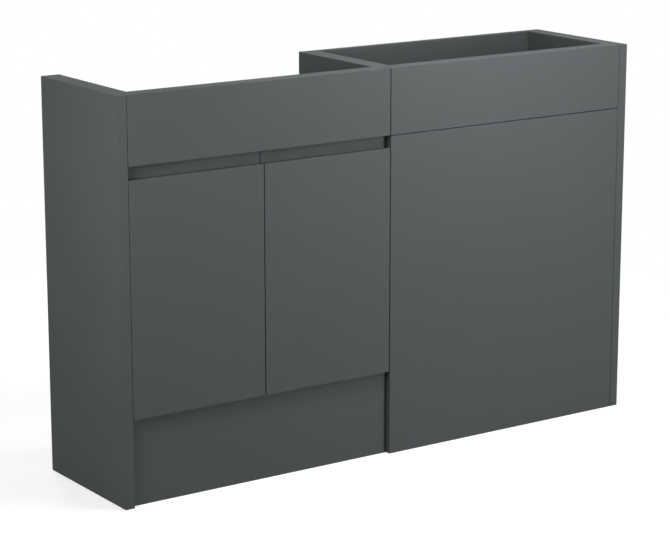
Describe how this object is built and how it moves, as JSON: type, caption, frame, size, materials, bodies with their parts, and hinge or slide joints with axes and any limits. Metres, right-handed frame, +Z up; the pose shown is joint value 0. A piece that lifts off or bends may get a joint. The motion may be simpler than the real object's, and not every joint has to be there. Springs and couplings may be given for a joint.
{
  "type": "bathroom furniture unit",
  "caption": "Basin cabinet with two handleless doors and WC cabinet with removable panels, side by side between full-height end panels, open at the top and back.",
  "frame": {"origin": "on the floor, under the middle of the unit, where the two cabinets meet", "axes": "+X along the front to the right, +Y from the fronts towards the wall, +Z up"},
  "size_m": [1.24, 0.3, 0.8],
  "materials": {
    "board": "satin dark grey-green foil on board",
    "steel": "nickel-plated steel",
    "black_plastic": "moulded matt",
    "pale_plastic": "moulded matt",
    "bumper": "soft clear pad"
  },
  "bodies": {
    "carcass": {"end_panel_left": "board", "end_panel_right": "board", "basin_side_left": "board", "basin_side_right": "board", "basin_floor": "board", "basin_front_rail": "board", "basin_back_rail_upper": "board", "basin_back_rail_lower": "board", "basin_fascia": "board", "wc_side_left": "board", "wc_side_right": "board", "wc_front_rail_top": "board", "wc_front_rail_middle": "board", "wc_back_rail_top": "board", "wc_back_rail_middle": "board", "wc_corner_blocks": "pale_plastic", "board_screws": "steel", "end_panel_screws": "steel", "fascia_screws": "steel", "block_screws": "steel", "connector_bolts": "steel", "connector_sleeves": "steel", "leg_sockets": "black_plastic", "leg_screws": "steel", "glide_nuts": "steel", "hinge_plates": "steel", "hinge_plate_screws": "steel", "hinge_arms": "steel", "hinge_arm_screws": "steel", "hinge_arm_pins": "steel", "door_bumpers": "bumper", "wc_stud_sockets": "black_plastic"},
    "hinge_link_left": {"hinge_links_left": "steel"},
    "door_left": {"door_left": "board", "hinge_cups_left": "steel", "hinge_cup_pins_left": "steel", "hinge_cup_screws_left": "steel"},
    "hinge_link_right": {"hinge_links_right": "steel"},
    "door_right": {"door_right": "board", "hinge_cups_right": "steel", "hinge_cup_pins_right": "steel", "hinge_cup_screws_right": "steel"},
    "plinth": {"plinth": "board", "plinth_clips": "black_plastic", "plinth_clip_screws": "steel"},
    "wc_upper_panel": {"wc_upper_panel": "board", "wc_upper_studs": "pale_plastic"},
    "wc_lower_panel": {"wc_lower_panel": "board", "wc_lower_studs": "pale_plastic"},
    "leg_foot_front_left": {"leg_foot_front_left": "black_plastic"},
    "leg_foot_front_right": {"leg_foot_front_right": "black_plastic"},
    "leg_foot_back_left": {"leg_foot_back_left": "black_plastic"},
    "leg_foot_back_right": {"leg_foot_back_right": "black_plastic"},
    "glide_foot_front_left": {"glide_foot_front_left": "black_plastic"},
    "glide_foot_front_right": {"glide_foot_front_right": "black_plastic"},
    "glide_foot_back_left": {"glide_foot_back_left": "black_plastic"},
    "glide_foot_back_right": {"glide_foot_back_right": "black_plastic"}
  },
  "joints": [
    {"name": "door_left_swing", "type": "hinge", "parent": "hinge_link_left", "child": "door_left", "pos_m": [-0.592, -0.134, 0.41925], "axis": [0, 0, -1], "range_deg": [0, 150]},
    {"name": "hinge_link_left_swing", "type": "hinge", "parent": "carcass", "child": "hinge_link_left", "pos_m": [-0.555, -0.116, 0.41925], "axis": [0, 0, 1], "range_deg": [0, 50]},
    {"name": "door_right_swing", "type": "hinge", "parent": "hinge_link_right", "child": "door_right", "pos_m": [-0.008, -0.134, 0.41925], "axis": [0, 0, 1], "range_deg": [0, 150]},
    {"name": "hinge_link_right_swing", "type": "hinge", "parent": "carcass", "child": "hinge_link_right", "pos_m": [-0.045, -0.116, 0.41925], "axis": [0, 0, -1], "range_deg": [0, 50]},
    {"name": "wc_upper_panel_pull", "type": "slide", "parent": "carcass", "child": "wc_upper_panel", "axis": [0, -1, 0], "range_m": [0, 0.012]},
    {"name": "wc_lower_panel_pull", "type": "slide", "parent": "carcass", "child": "wc_lower_panel", "axis": [0, -1, 0], "range_m": [0, 0.012]},
    {"name": "plinth_pull", "type": "slide", "parent": "carcass", "child": "plinth", "axis": [0, -1, 0], "range_m": [0, 0.03]},
    {"name": "leg_foot_front_left_screw", "type": "slide", "parent": "carcass", "child": "leg_foot_front_left", "axis": [0, 0, -1], "range_m": [-0.015, 0.02]},
    {"name": "leg_foot_front_right_screw", "type": "slide", "parent": "carcass", "child": "leg_foot_front_right", "axis": [0, 0, -1], "range_m": [-0.015, 0.02]},
    {"name": "leg_foot_back_left_screw", "type": "slide", "parent": "carcass", "child": "leg_foot_back_left", "axis": [0, 0, -1], "range_m": [-0.015, 0.02]},
    {"name": "leg_foot_back_right_screw", "type": "slide", "parent": "carcass", "child": "leg_foot_back_right", "axis": [0, 0, -1], "range_m": [-0.015, 0.02]},
    {"name": "glide_foot_front_left_screw", "type": "slide", "parent": "carcass", "child": "glide_foot_front_left", "axis": [0, 0, -1], "range_m": [-0.006, 0.008]},
    {"name": "glide_foot_front_right_screw", "type": "slide", "parent": "carcass", "child": "glide_foot_front_right", "axis": [0, 0, -1], "range_m": [-0.006, 0.008]},
    {"name": "glide_foot_back_left_screw", "type": "slide", "parent": "carcass", "child": "glide_foot_back_left", "axis": [0, 0, -1], "range_m": [-0.006, 0.008]},
    {"name": "glide_foot_back_right_screw", "type": "slide", "parent": "carcass", "child": "glide_foot_back_right", "axis": [0, 0, -1], "range_m": [-0.006, 0.008]}
  ],
  "couplings": [
    {"joint": "hinge_link_left_swing", "follows": "door_left_swing", "ratio": 0.33333},
    {"joint": "hinge_link_right_swing", "follows": "door_right_swing", "ratio": 0.33333}
  ]
}
